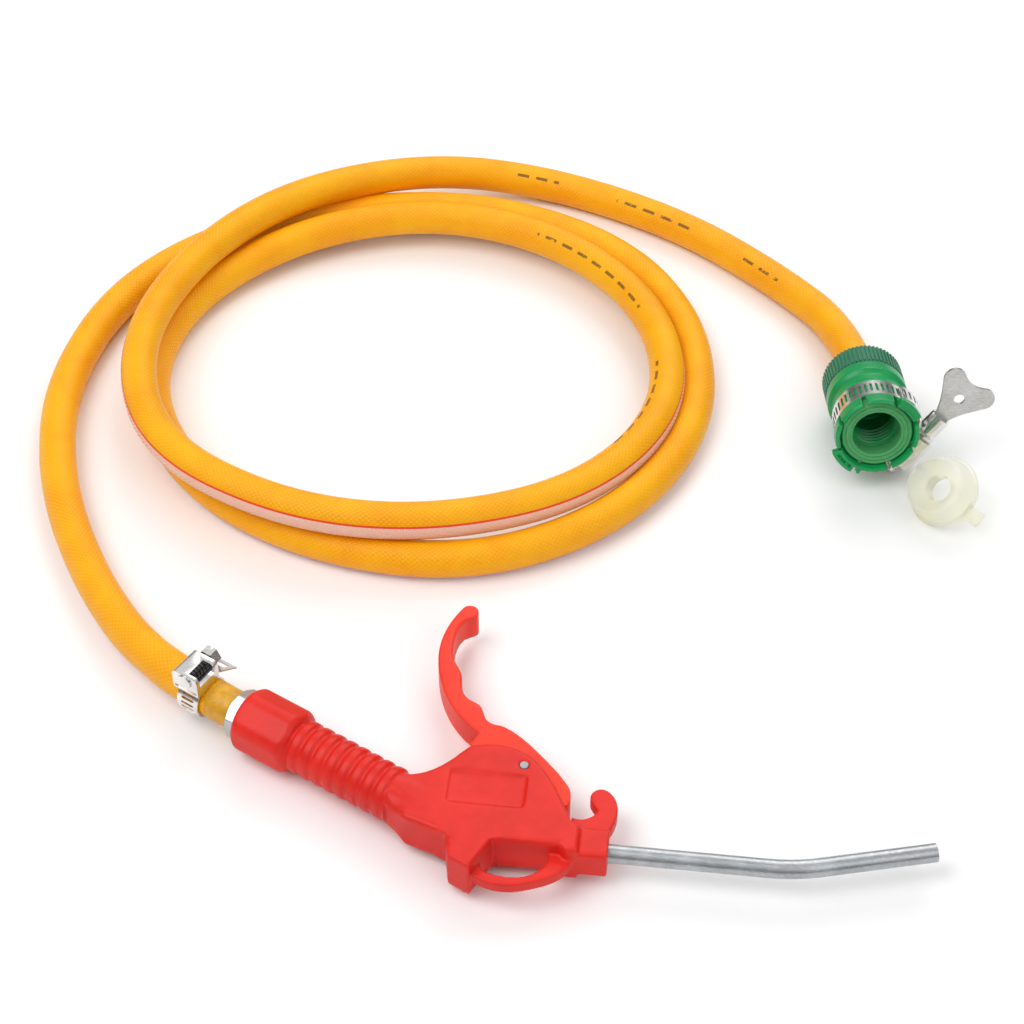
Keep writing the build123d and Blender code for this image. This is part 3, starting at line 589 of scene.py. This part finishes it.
# ---------------------------------------------------------------- hose
ROUTE = [
    along_handle(HEX_T), along_handle(39.0), (-188, 97, FLOOR), (-215, 147, FLOOR),
    (-227, 201, FLOOR), (-217, 259, FLOOR), (-181, 302, FLOOR), (-128, 325, FLOOR),
    (-74, 330, FLOOR), (-19, 307, FLOOR), (12, 261, FLOOR), (17, 204, FLOOR), (-9, 153, FLOOR),
    (-58, 123, FLOOR), (-115, 126, FLOOR), (-165, 152, FLOOR), (-196, 202, FLOOR),
    (-191, 258, FLOOR), (-152, 300, 10.5), (-98, 318, 12.6), (-43, 304, 12.6),
    (-3, 263, 12.6), (7, 206, 14), (-20, 157, 15), (-73, 130, 18), (-127, 128, 21.4),
    (-180, 157, 20.6), (-200, 211, 20.6), (-189, 267, 20.6), (-157, 311, 21.4),
    (-107, 343, 15.5), (-57, 352, FLOOR), (1, 329, FLOOR), (42, 297, FLOOR),
    along_tap(-34.0), along_tap(HOSE_IN_NUT),
]
COIL_MIDDLE = (-95, 228, 0)


def hose_curve(solid):
    """The hose's line as a NURBS curve through its route, bare or with its round section."""
    data = bpy.data.curves.new("hose_line", "CURVE")
    data.dimensions = "3D"
    data.resolution_u = 14
    data.twist_mode = "MINIMUM"
    spline = data.splines.new("NURBS")
    spline.points.add(len(ROUTE) - 1)
    for point, spot in zip(spline.points, ROUTE):
        point.co = (*place(spot), 1.0)
    spline.order_u = 3
    spline.use_endpoint_u = True
    if solid:
        data.bevel_depth = HOSE_R * MM
        data.bevel_resolution = HOSE_SIDES // 4 - 2
        data.use_fill_caps = True
    return bpy.data.objects.new("hose_line", data)


def curve_mesh(curve):
    """The mesh of a curve, which is then removed."""
    collection.objects.link(curve)
    mesh = evaluated_mesh(curve)
    bpy.data.objects.remove(curve)
    return mesh


def distances(points):
    """How far each point lies along the line through them."""
    reach = [0.0]
    for before, here in zip(points, points[1:]):
        reach.append(reach[-1] + (here - before).length)
    return reach


def upright_at(points, i):
    """Two directions square to the hose at a point: away from the coil's middle, and up."""
    after, before = points[min(i + 1, len(points) - 1)], points[max(i - 1, 0)]
    ahead = (after - before).normalized()
    side = ahead.cross(Vector((0, 0, 1))).normalized()
    if side.dot(points[i] - place(COIL_MIDDLE)) < 0:
        side = -side
    up = side.cross(ahead).normalized()
    return side, up if up.z > 0 else -up


def ring_starts(mesh, points, sides):
    """For each ring of the tube: its first corner in turns from the top, and which way it counts."""
    starts = []
    for i, centre in enumerate(points):
        side, up = upright_at(points, i)
        turns = []
        for corner in mesh.vertices[i * sides:i * sides + 2]:
            arm = corner.co - centre
            turns.append(math.atan2(arm.dot(side), arm.dot(up)) / math.tau)
        sense = 1.0 if (turns[1] - turns[0]) % 1.0 < 0.5 else -1.0
        starts.append((turns[0], sense))
    return starts


def name_the_round(mesh, points, reach):
    """Gives the tube a UV map: metres along it, and turns round it from its top."""
    sides = len(mesh.vertices) // len(points)
    starts = ring_starts(mesh, points, sides)
    layer = mesh.uv_layers.new(name=HOSE_MAP)
    for face in mesh.polygons:
        turns = []
        for loop in face.loop_indices:
            index = mesh.loops[loop].vertex_index
            ring, corner = min(index // sides, len(points) - 1), index % sides
            start, sense = starts[ring]
            turns.append((loop, ring, (start + sense * corner / sides + 0.5) % 1.0 - 0.5))
        wraps = max(turn for _, _, turn in turns) - min(turn for _, _, turn in turns) > 0.5
        for loop, ring, turn in turns:
            lifted = turn + 1.0 if wraps and turn < 0 else turn
            layer.data[loop].uv = (reach[ring], lifted)


def swell_behind_clamp(mesh, points, reach):
    """The squeezed hose swells a little where it leaves its clamp."""
    sides = len(mesh.vertices) // len(points)
    for i, (centre, along) in enumerate(zip(points, reach)):
        share = 1 - abs(along - BULGE_AT) / BULGE_HALF
        if share <= 0:
            continue
        grow = 1 + BULGE_RISE * math.sin(share * math.pi / 2) ** 2
        for vert in mesh.vertices[i * sides:(i + 1) * sides]:
            vert.co = centre + (vert.co - centre) * grow


def make_hose():
    """The braided hose on its route, and the points of its middle line."""
    points = [vert.co.copy() for vert in curve_mesh(hose_curve(solid=False)).vertices]
    mesh = curve_mesh(hose_curve(solid=True))
    reach = distances(points)
    name_the_round(mesh, points, reach)
    piece = mesh_object("braided_hose", mesh)
    swell_behind_clamp(mesh, points, reach)
    mesh.materials.clear()
    mesh.materials.append(hose_pvc())
    mesh.materials.append(hose_end_pvc())
    layer = mesh.uv_layers[HOSE_MAP]
    for face in mesh.polygons:
        if layer.data[face.loop_indices[0]].uv.x < HOSE_END_L:
            face.material_index = 1
    stand_for(piece, "root", "hose_orange", "hose")
    return piece, points


# ---------------------------------------------------------------- gun
def neck_reach(x):
    """How far from the handle's axis the neck stands where the grip widens into the plate."""
    return GRIP_R + FLARE * max(0.0, x - FLARE_FROM) ** 2


def flare_neck(bm):
    """Draws the plate's lower back corners in to a cone that runs on from the grip."""
    outward = handle_matrix()
    inward = outward.inverted()
    for vert in bm.verts:
        spot = inward @ vert.co
        if not NECK_FROM < spot.x < NECK_TO:
            continue
        across = min(spot.y, 0.0)
        reach = math.hypot(across, spot.z)
        share = neck_reach(spot.x) / reach if reach > 1.0 else 1.0
        if share < 1.0:
            spot.z *= share
            spot.y += across * (share - 1)
        top = PLATE_HALF + NECK_SWELL * max(0.0, 1 - (spot.x - NECK_FROM) / NECK_SWELL_L)
        spot.z = max(-top, min(top, spot.z))
        vert.co = outward @ spot


def fill_valve_block(bm):
    """Brings the valve block's faces level with the plate's."""
    rim = BLOCK_HALF - BLOCK_EDGE
    for vert in bm.verts:
        x, y, z = vert.co / MM - ROOT
        if BLOCK_X[0] < x < BLOCK_X[1] and y < BLOCK_TOP and abs(z) > rim:
            inside = min(1.0, max(0.0, -y / BLOCK_RISE))
            share = min(1.0, (abs(z) - rim) / BLOCK_EDGE)
            height = min(PLATE_HALF, abs(z) + (PLATE_HALF - BLOCK_HALF) * share * inside)
            vert.co.z = (ROOT.z + math.copysign(height, z)) * MM


def smooth_round(bm, spot, reach, passes):
    """Evens out the skin round one point of the gun's side."""
    evened(bm, [v for v in bm.verts if (v.co.xy - spot.xy).length < reach * MM], passes)


def smooth_handle(bm, start, end, passes):
    """Rounds the mould's edges off further along one stretch of the handle."""
    inward = handle_matrix().inverted()
    evened(bm, [v for v in bm.verts if start < (inward @ v.co).x < end], passes)


def make_gun(red, lever_red):
    """The moulded body, and the finger lever in its slot."""
    body = softened("gun_shell", cad_bmesh("gun_body"), 0.44, 3, keep=0.6)
    bm = bmesh.new()
    bm.from_mesh(body.data)
    fill_valve_block(bm)
    flare_neck(bm)
    smooth_handle(bm, -1.0, COLLAR_L + 0.4, 9)
    smooth_handle(bm, NECK_FROM, NECK_TO, 6)
    smooth_round(bm, place((*PIVOT, 0)), PIVOT_REACH, 5)
    bm.to_mesh(body.data)
    bm.free()
    give(body, red)
    stand_for(body, "root", "gun_red", "gun_body")
    lever = softened("finger_lever", cad_bmesh("trigger_lever"), 0.40, 3)
    give(lever, lever_red)
    stand_for(lever, "lever", "lever_red", "trigger_lever")


# ---------------------------------------------------------------- hose clamp and jaw band
def slotted_strip(bm, at, width, sweep, pitch, radius_at, lean_at=lambda angle: 0.0):
    """A strip bent round the X axis, with a row of round-ended slots along its middle.

    sweep and pitch are in degrees from the top. radius_at and lean_at say how far from the axis
    and how far along it the strip stands at an angle.
    """
    across = (-0.5, -0.295, -0.25, 0.25, 0.295, 0.5)  # shares of the width, the slot in the middle
    along = (0.0, 0.26, 0.34, 0.66, 0.74)  # shares of the pitch, the slot from 0.26 to 0.74
    start, end = sweep
    cells = round((end - start) / pitch)
    columns, rows = len(across) - 1, len(along) * cells
    made = bmesh.ops.create_grid(bm, x_segments=columns, y_segments=rows, size=0.5)["verts"]
    slots = []
    for face in {f for v in made for f in v.link_faces}:
        middle = face.calc_center_median()
        column = int((middle.x + 0.5) * columns)
        step = int((middle.y + 0.5) * rows) % len(along)
        if (column == 2 and step in (1, 2, 3)) or (column in (1, 3) and step == 2):
            slots.append(face)
    for vert in made:
        column = round((vert.co.x + 0.5) * columns)
        row = round((vert.co.y + 0.5) * rows)
        share = along[row % len(along)] + row // len(along)
        angle = start + share * (end - start) / cells
        turn, radius = math.radians(angle), radius_at(angle)
        x = at + across[column] * width + lean_at(angle)
        vert.co = (x, math.sin(turn) * radius, math.cos(turn) * radius)
    bmesh.ops.delete(bm, geom=slots, context="FACES")


def closed_strip(bm, at, width, pitch, radius):
    """A slotted strip all the way round."""
    slotted_strip(bm, at, width, (-180, 180), pitch, lambda angle: radius)
    bmesh.ops.remove_doubles(bm, verts=bm.verts, dist=1e-4)


def stamped(name, bm, matrix, thick, steel, node):
    """Gives a strip its thickness, half to each side, and puts it in a CAD band's place."""
    bmesh.ops.recalc_face_normals(bm, faces=bm.faces)
    band = finish_bmesh(name, bm, matrix)
    wall = band.modifiers.new("strip", "SOLIDIFY")
    wall.thickness = thick * MM
    wall.offset = 0.0
    wall.use_even_offset = True
    crisp(baked(band))
    give(band, steel)
    stand_for(band, "root", "clamp_steel", node)


def make_jaw_band(steel):
    """The jaw band, slotted all round, and its free end that stands off beside the screw."""
    bm = bmesh.new()
    closed_strip(bm, BAND_AT, BAND_W, 8.0, BAND_R + BAND_T / 2)
    start, end = FREE_END
    base, rise = FREE_END_RISE

    def stands_off(angle):
        return BAND_R + base + rise * math.sin(math.pi * (angle - start) / (end - start))

    slotted_strip(bm, BAND_AT, BAND_W, FREE_END, 8.0, stands_off)
    stamped("slotted_jaw_band", bm, tap_matrix(), BAND_T - 0.04, steel, "jaw_band")


def make_clamp_strap(steel):
    """The slotted band round the hose; its free end leans over towards the collar."""
    bm = bmesh.new()
    closed_strip(bm, -CLAMP_AT, CLAMP_BAND_W, 15.0, CLAMP_BAND_R)

    def straight_out(angle):
        return (CLAMP_BAND_R + TAIL_OUT) / math.cos(math.radians(angle))

    def lean(angle):
        out = straight_out(angle) * math.sin(math.radians(angle))
        return TAIL_LEAN * max(0.0, out - TAIL_LEANS_PAST)

    slotted_strip(bm, -CLAMP_AT, CLAMP_BAND_W - 1.2, (6, 52), 11.5, straight_out, lean)
    stamped("clamp_strap", bm, handle_matrix(), CLAMP_BAND_T, steel, "clamp_band")


def screw_spot(across):
    """How far across the handle, in metres from the part's origin, a point on the screw lies."""
    return (handle_matrix() @ Vector((-CLAMP_AT, across, 0))).dot(ACROSS_HANDLE)


def make_clamp_saddle(steel):
    """The pressed saddle over the worm, open on the gun's side so that the thread shows."""
    saddle = finish_bmesh("clamp_saddle", cad_bmesh("clamp_housing"))
    window = bmesh.new()
    bmesh.ops.create_cube(window, size=1.0)
    bmesh.ops.scale(window, vec=WINDOW_SIZE, verts=window.verts)
    bmesh.ops.translate(window, vec=WINDOW_AT, verts=window.verts)
    cutter = finish_bmesh("window_cutter", window, handle_matrix())
    cut = saddle.modifiers.new("window", "BOOLEAN")
    cut.operation = "DIFFERENCE"
    cut.solver = "EXACT"
    cut.object = cutter
    baked(saddle)
    bpy.data.objects.remove(cutter)
    rounded(saddle, 0.25, 3)
    give(saddle, steel)
    stand_for(saddle, "root", "clamp_steel", "clamp_housing")


# ---------------------------------------------------------------- connector
HOOK_BARS = (  # degrees where each starts, its sweep, its inner and its outer radius
    (-28, -34, 15.4, 17.0), (-26, -5, 13.6, 17.0), (-58, -5, 13.6, 17.0),
    (116, 34, 16.1, 17.5), (114, 5, 13.6, 17.5), (156, 5, 13.6, 17.0),
)


def add_hooks(bm):
    """Two catches on the mouth's rim, each a curved bar on two short arms."""
    hooks = bmesh.new()
    back, front = TAP_L - HOOK_BACK - HOOK_L, TAP_L - HOOK_BACK
    for start, sweep, inner, outer in HOOK_BARS:
        turned_bar(hooks, [(back, inner), (front, inner), (front, outer), (back, outer)], start, sweep)
    bmesh.ops.transform(hooks, matrix=tap_matrix(), verts=hooks.verts)
    bmesh.ops.recalc_face_normals(hooks, faces=hooks.faces)
    hook_mesh = bpy.data.meshes.new("hooks")
    hooks.to_mesh(hook_mesh)
    hooks.free()
    bm.from_mesh(hook_mesh)
    bpy.data.meshes.remove(hook_mesh)


def make_bore_thread(green):
    """The rings of thread in the connector's bore."""
    bm = bmesh.new()
    foot, crest = MOUTH_BORE_R + 0.15, MOUTH_BORE_R - THREAD_DEPTH
    for i in range(THREAD_TURNS):
        x = THREAD_FROM + i * THREAD_PITCH
        turned_ring(bm, [(x, foot), (x + 0.55, crest), (x + 0.75, crest), (x + 1.3, foot)], steps=72)
    ridges = crisp(finish_bmesh("bore_thread", bm, tap_matrix()))
    give(ridges, green)
    stand_for(ridges, "root", "connector_green")


def make_mouth_ring(seal_green):
    """The thick ring in the mouth, with two round grooves in its face."""
    inner, outer, face = MOUTH_BORE_R + 0.4, SEAL_RING_R - 1.05, TAP_L - 2.2
    points = [(TAP_L - MOUTH_L, inner), (TAP_L - MOUTH_L, outer), (face - 0.5, outer), (face, outer - 0.5)]
    for groove in GROOVE_RADII:
        floor = face - GROOVE_DEPTH
        points += [(face, groove + 0.4), (floor, groove + 0.2), (floor, groove - 0.2), (face, groove - 0.4)]
    points += [(face, inner + 0.5), (face - 0.5, inner)]
    bm = bmesh.new()
    turned_ring(bm, points)
    ring = rounded(finish_bmesh("mouth_ring", bm, tap_matrix()), 0.12, 2)
    give(ring, seal_green)
    stand_for(ring, "root", "connector_green", "connector_seal")


def make_connector(green, seal_green):
    """The moulded body with its hooks, the thread in its bore and the ring in its mouth."""
    bm = cad_bmesh("connector_body")
    add_hooks(bm)
    body = softened("connector_shell", bm, 0.34, 2, keep=0.8)
    give(body, green)
    stand_for(body, "root", "connector_green", "connector_body")
    make_bore_thread(green)
    make_mouth_ring(seal_green)


# ---------------------------------------------------------------- loose tap insert
def make_insert(silicone):
    """The soft stepped bush: a broad coned boss on a thin flange with a pull tab."""
    bm = bmesh.new()
    flange = [(0.0, 4.8), (0.0, 12.6), (0.4, 13.2), (1.5, 13.2), (2.0, 12.6)]
    boss = [(2.2, 12.0), (8.8, 11.2), (9.8, 10.4), (9.8, 9.6), (9.0, 8.8)]
    dish = [(6.8, 6.2), (6.6, 5.2), (6.0, 4.8)]
    turned_ring(bm, flange + boss + dish)
    tab = bmesh.ops.create_cube(bm, size=1.0)["verts"]
    bmesh.ops.scale(bm, vec=(1.7, 7.0, 5.6), verts=tab)
    bmesh.ops.translate(bm, vec=(0.9, 15.2, 0), verts=tab)
    lean = Matrix.Rotation(math.radians(-INSERT_LEAN), 4, "Y")
    bmesh.ops.transform(bm, matrix=lean, verts=bm.verts)
    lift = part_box("tap_insert")[0][2] / MM - min(v.co.z for v in bm.verts)
    spot = Matrix.Translation(place((*INSERT_AT, lift)))
    turn = Matrix.Rotation(math.radians(INSERT_HEADING), 4, "Z")
    bmesh.ops.transform(bm, matrix=spot @ turn @ Matrix.Scale(MM, 4), verts=bm.verts)
    bmesh.ops.recalc_face_normals(bm, faces=bm.faces)
    insert = rounded(finish_bmesh("tap_bush", bm), 0.35, 3)
    give(insert, silicone)
    stand_for(insert, "root", "insert_silicone", "tap_insert")


# ---------------------------------------------------------------- studio
LIGHTS = {  # place, size in metres and power in watts
    "key": ((-0.7, -0.3, 1.3), 1.1, 10),
    "fill": ((1.1, -0.7, 1.1), 1.3, 5),
    "back": ((0.2, 1.3, 1.1), 1.2, 8),
}
LIGHTS_AIM = Vector((0, 0.11, 0))
WALLS = {"From Min": 0.10, "From Max": 0.75, "To Min": 0.10, "To Max": 0.70}


def area_light(name, at, size, power):
    """A round soft light that shines on the part."""
    data = bpy.data.lights.new(name, "AREA")
    data.shape = "DISK"
    data.size = size
    data.energy = power
    light = bpy.data.objects.new(name, data)
    light.location = at
    light.rotation_euler = (LIGHTS_AIM - Vector(at)).to_track_quat("-Z", "Y").to_euler()
    collection.objects.link(light)


def make_room():
    """White surroundings, dim at the horizon and bright above."""
    world = bpy.data.worlds.new("soft_room")
    world.use_nodes = True
    nodes, links = world.node_tree.nodes, world.node_tree.links
    sky = nodes.new("ShaderNodeTexCoord")
    height = nodes.new("ShaderNodeSeparateXYZ")
    walls = nodes.new("ShaderNodeMapRange")
    for key, value in WALLS.items():
        walls.inputs[key].default_value = value
    links.new(sky.outputs["Generated"], height.inputs[0])
    links.new(height.outputs["Z"], walls.inputs["Value"])
    links.new(walls.outputs[0], nodes["Background"].inputs["Strength"])
    nodes["Background"].inputs["Color"].default_value = (1, 1, 1, 1)
    scene.world = world


def make_studio():
    """The floor, three soft lights and the room round them."""
    bm = bmesh.new()
    bmesh.ops.create_grid(bm, x_segments=8, y_segments=8, size=6.0)
    floor = finish_bmesh("floor", bm)
    give(floor, studio_floor())
    for name, (at, size, power) in LIGHTS.items():
        area_light(name, at, size, power)
    make_room()
    scene.view_settings.view_transform = "Standard"


# ---------------------------------------------------------------- put it together
make_camera()
hose, hose_line_points = make_hose()
gun_red = moulded_plastic(
    "gun_red_nylon", (0.79, 0.018, 0.008), (0.66, 0.010, 0.004), rough=0.44, glow=0.08)
lever_red = moulded_plastic(
    "lever_red_nylon", (0.92, 0.042, 0.012), (0.82, 0.028, 0.008), rough=0.44, glow=0.12)
green = moulded_plastic(
    "connector_green_plastic", (0.008, 0.36, 0.100), (0.005, 0.27, 0.070), rough=0.30, glow=0.10)
nut_green = moulded_plastic(
    "nut_green_plastic", (0.050, 0.27, 0.150), (0.028, 0.18, 0.095), rough=0.46)
collet_white = moulded_plastic(
    "collet_white_plastic", (0.78, 0.78, 0.75), (0.70, 0.70, 0.66), rough=0.45)
seal_green = moulded_plastic(
    "mouth_seal_green", (0.095, 0.43, 0.150), (0.065, 0.33, 0.110), rough=0.50)
nozzle_steel = drawn_steel(
    "zinc_nozzle", (0.58, 0.60, 0.62), rough=0.34, stretch=(1, 14, 14), zinc=0.6)
wing_steel = drawn_steel(
    "brushed_wing", (0.68, 0.67, 0.65), rough=0.32, stretch=(1, 10, 10), turn=(0.3, 0.5, 0.9))
pin_steel = drawn_steel("pin_steel", (0.42, 0.44, 0.45), rough=0.45, stretch=(8, 8, 1))
clamp_steel = bright_steel("clamp_steel", (0.84, 0.83, 0.81), rough=0.20)
nickel = bright_steel("nickel_plate", (0.60, 0.63, 0.65), rough=0.42)
# the worm's thread carries painted shade inside the saddle's window
worm_steel = bright_steel(
    "worm_steel", (0.84, 0.83, 0.81), rough=0.20, thread_painted_shade=[screw_spot(end) for end in THREAD_PAINTED_SHADE])
brass, rubber, silicone = machined_brass(), moulded_rubber(), soft_silicone()

make_gun(gun_red, lever_red)
make_clamp_saddle(clamp_steel)
make_clamp_strap(clamp_steel)
make_jaw_band(clamp_steel)
make_connector(green, seal_green)
make_insert(silicone)

NODE_FINISH = {
    "nozzle_tube": nozzle_steel, "lever_pin": pin_steel, "valve_spring": pin_steel,
    "valve_bush": brass, "valve_stem": brass, "inlet_insert": brass, "hose_barb": nickel,
    "bush_o_ring": rubber, "stem_o_ring": rubber, "valve_seal": rubber, "inlet_o_ring": rubber,
    "clamp_screw": worm_steel, "band_housing": clamp_steel, "thumb_screw": clamp_steel,
    "screw_washer": clamp_steel, "thumb_wing": wing_steel, "hose_nut": nut_green,
    "grip_collet": collet_white,
}
for node, material in NODE_FINISH.items():
    give(NODES[node], material)

place(along_handle(HEX_T))
2 * HOSE_R * MM
make_studio()
